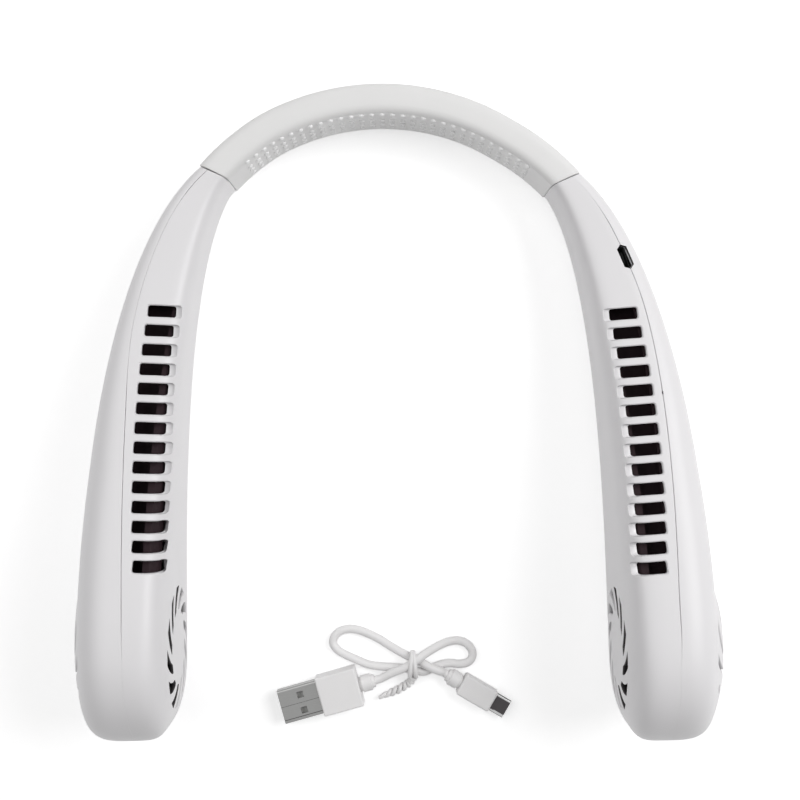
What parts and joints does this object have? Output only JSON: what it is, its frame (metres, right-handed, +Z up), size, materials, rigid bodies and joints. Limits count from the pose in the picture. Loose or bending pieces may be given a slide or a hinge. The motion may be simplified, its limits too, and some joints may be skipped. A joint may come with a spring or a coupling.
{
  "type": "neck fan",
  "caption": "Wearable U-shaped bladeless neck fan: soft neck band, two hollow arms with air slots, blower in each head, swirl inlets, charging port and cable.",
  "frame": {"origin": "centre of the footprint of the fan as it lies flat, on the surface it lies on", "axes": "+X to the right seen from above with the neck band at the back, +Y towards the back of the neck band, +Z up, the way the air slots face as it lies flat"},
  "size_m": [0.2142, 0.2198, 0.06],
  "materials": {
    "shell": "smooth moulded plastic with a soft satin gloss",
    "sleeve": "matt silicone with rows of raised dots on the inner side",
    "steel": "plain steel",
    "wire": "smooth wire insulation",
    "duct": "dark moulded plastic",
    "cell": "aluminium can in a thin film sleeve",
    "motor_plastic": "moulded plastic",
    "copper": "enamelled copper winding",
    "magnet": "plain ferrite",
    "wheel": "moulded plastic",
    "board": "green circuit board with solder mask",
    "button": "smooth moulded plastic",
    "light": "clear light guide",
    "plug_steel": "nickel-plated sheet steel",
    "cable": "smooth moulded cable jacket",
    "tie": "thin plastic-coated wire"
  },
  "bodies": {
    "neck_band": {"neck_sleeve_middle": "sleeve", "flex_core_middle": "steel", "band_wires_middle": "wire", "usb_a_shell": "plug_steel", "usb_a_tongue": "motor_plastic", "usb_a_grip": "cable", "charging_cord": "cable", "micro_usb_grip": "cable", "micro_usb_shell": "plug_steel", "twist_tie": "tie"},
    "left_arm": {"neck_sleeve_left": "sleeve", "flex_core_left": "steel", "band_wires_left": "wire", "left_inner_shell": "shell", "left_outer_shell": "shell", "left_outer_grille": "shell", "left_air_duct": "duct", "left_fan_scroll": "duct", "left_battery": "cell", "left_motor_base": "motor_plastic", "left_stator_core": "steel", "left_motor_coils": "copper", "left_motor_screws": "steel"},
    "right_arm": {"neck_sleeve_right": "sleeve", "flex_core_right": "steel", "band_wires_right": "wire", "right_inner_shell": "shell", "right_outer_shell": "shell", "right_outer_grille": "shell", "right_air_duct": "duct", "right_fan_scroll": "duct", "right_battery": "cell", "right_motor_base": "motor_plastic", "right_stator_core": "steel", "right_motor_coils": "copper", "right_motor_screws": "steel", "circuit_board": "board", "micro_usb_socket": "steel", "tact_switch": "motor_plastic", "battery_lights": "light"},
    "left_rotor": {"left_rotor_cup": "steel", "left_ring_magnet": "magnet", "left_blower_wheel": "wheel"},
    "right_rotor": {"right_rotor_cup": "steel", "right_ring_magnet": "magnet", "right_blower_wheel": "wheel"},
    "power_button": {"power_button": "button"}
  },
  "joints": [
    {"name": "left_arm_flex", "type": "hinge", "parent": "neck_band", "child": "left_arm", "pos_m": [-0.03996, 0.09573, 0.014], "axis": [0, 0, -1], "range_deg": [-5, 25], "stiffness_Nm_per_rad": 0.6},
    {"name": "right_arm_flex", "type": "hinge", "parent": "neck_band", "child": "right_arm", "pos_m": [0.03996, 0.09224, 0.014], "axis": [0, 0, 1], "range_deg": [-5, 25], "stiffness_Nm_per_rad": 0.6},
    {"name": "left_blower_spin", "type": "hinge", "parent": "left_arm", "child": "left_rotor", "pos_m": [-0.08796, -0.07635, 0.03], "axis": [-1, 0, 0], "continuous": true},
    {"name": "right_blower_spin", "type": "hinge", "parent": "right_arm", "child": "right_rotor", "pos_m": [0.08796, -0.07984, 0.03], "axis": [1, 0, 0], "continuous": true},
    {"name": "power_button_press", "type": "slide", "parent": "right_arm", "child": "power_button", "axis": [-0.955, -0.2965, 0], "range_m": [0, 0.0005], "stiffness_N_per_m": 1500}
  ]
}
